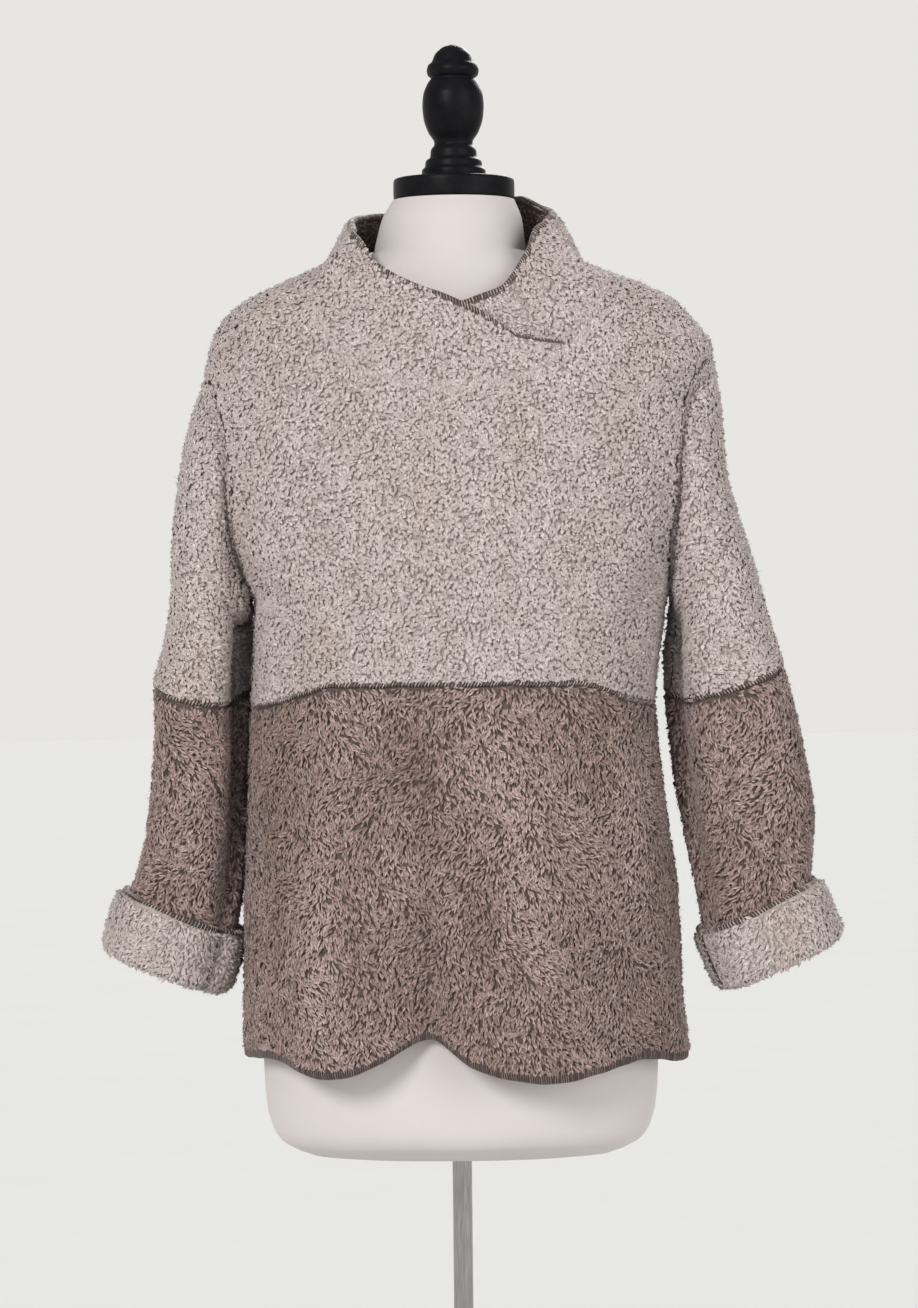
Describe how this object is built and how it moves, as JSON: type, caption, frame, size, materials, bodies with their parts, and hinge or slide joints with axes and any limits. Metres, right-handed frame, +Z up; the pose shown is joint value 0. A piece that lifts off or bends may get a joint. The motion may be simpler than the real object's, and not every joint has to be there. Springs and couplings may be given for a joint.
{
  "type": "pullover on a dress form",
  "caption": "Hollow crossover-collar pile pullover with turned-back cuffs, worn on a limbless dress form with a finial, a pole and a round foot.",
  "frame": {"origin": "centre of the round foot's underside, on the floor", "axes": "+Z up along the pole, the garment's front towards -Y, wearer's left towards +X"},
  "size_m": [0.5993, 0.32, 1.5996],
  "materials": {
    "light_pile": "light taupe curly pile",
    "dark_pile": "dark mauve-brown curly pile",
    "jersey": "fine ivory jersey, smooth",
    "black_wood": "turned wood, satin black",
    "pole_steel": "polished steel tube",
    "foot_metal": "plain satin grey metal"
  },
  "bodies": {
    "root": {"front_upper": "light_pile", "back_upper": "light_pile", "front_lower": "dark_pile", "back_lower": "dark_pile", "sleeve_upper_right": "light_pile", "sleeve_lower_right": "dark_pile", "cuff_right": "light_pile", "sleeve_upper_left": "light_pile", "sleeve_lower_left": "dark_pile", "cuff_left": "light_pile", "collar": "light_pile", "form_torso": "jersey", "neck_cap": "black_wood", "finial": "black_wood", "pole": "pole_steel", "base_plate": "foot_metal"}
  },
  "joints": []
}
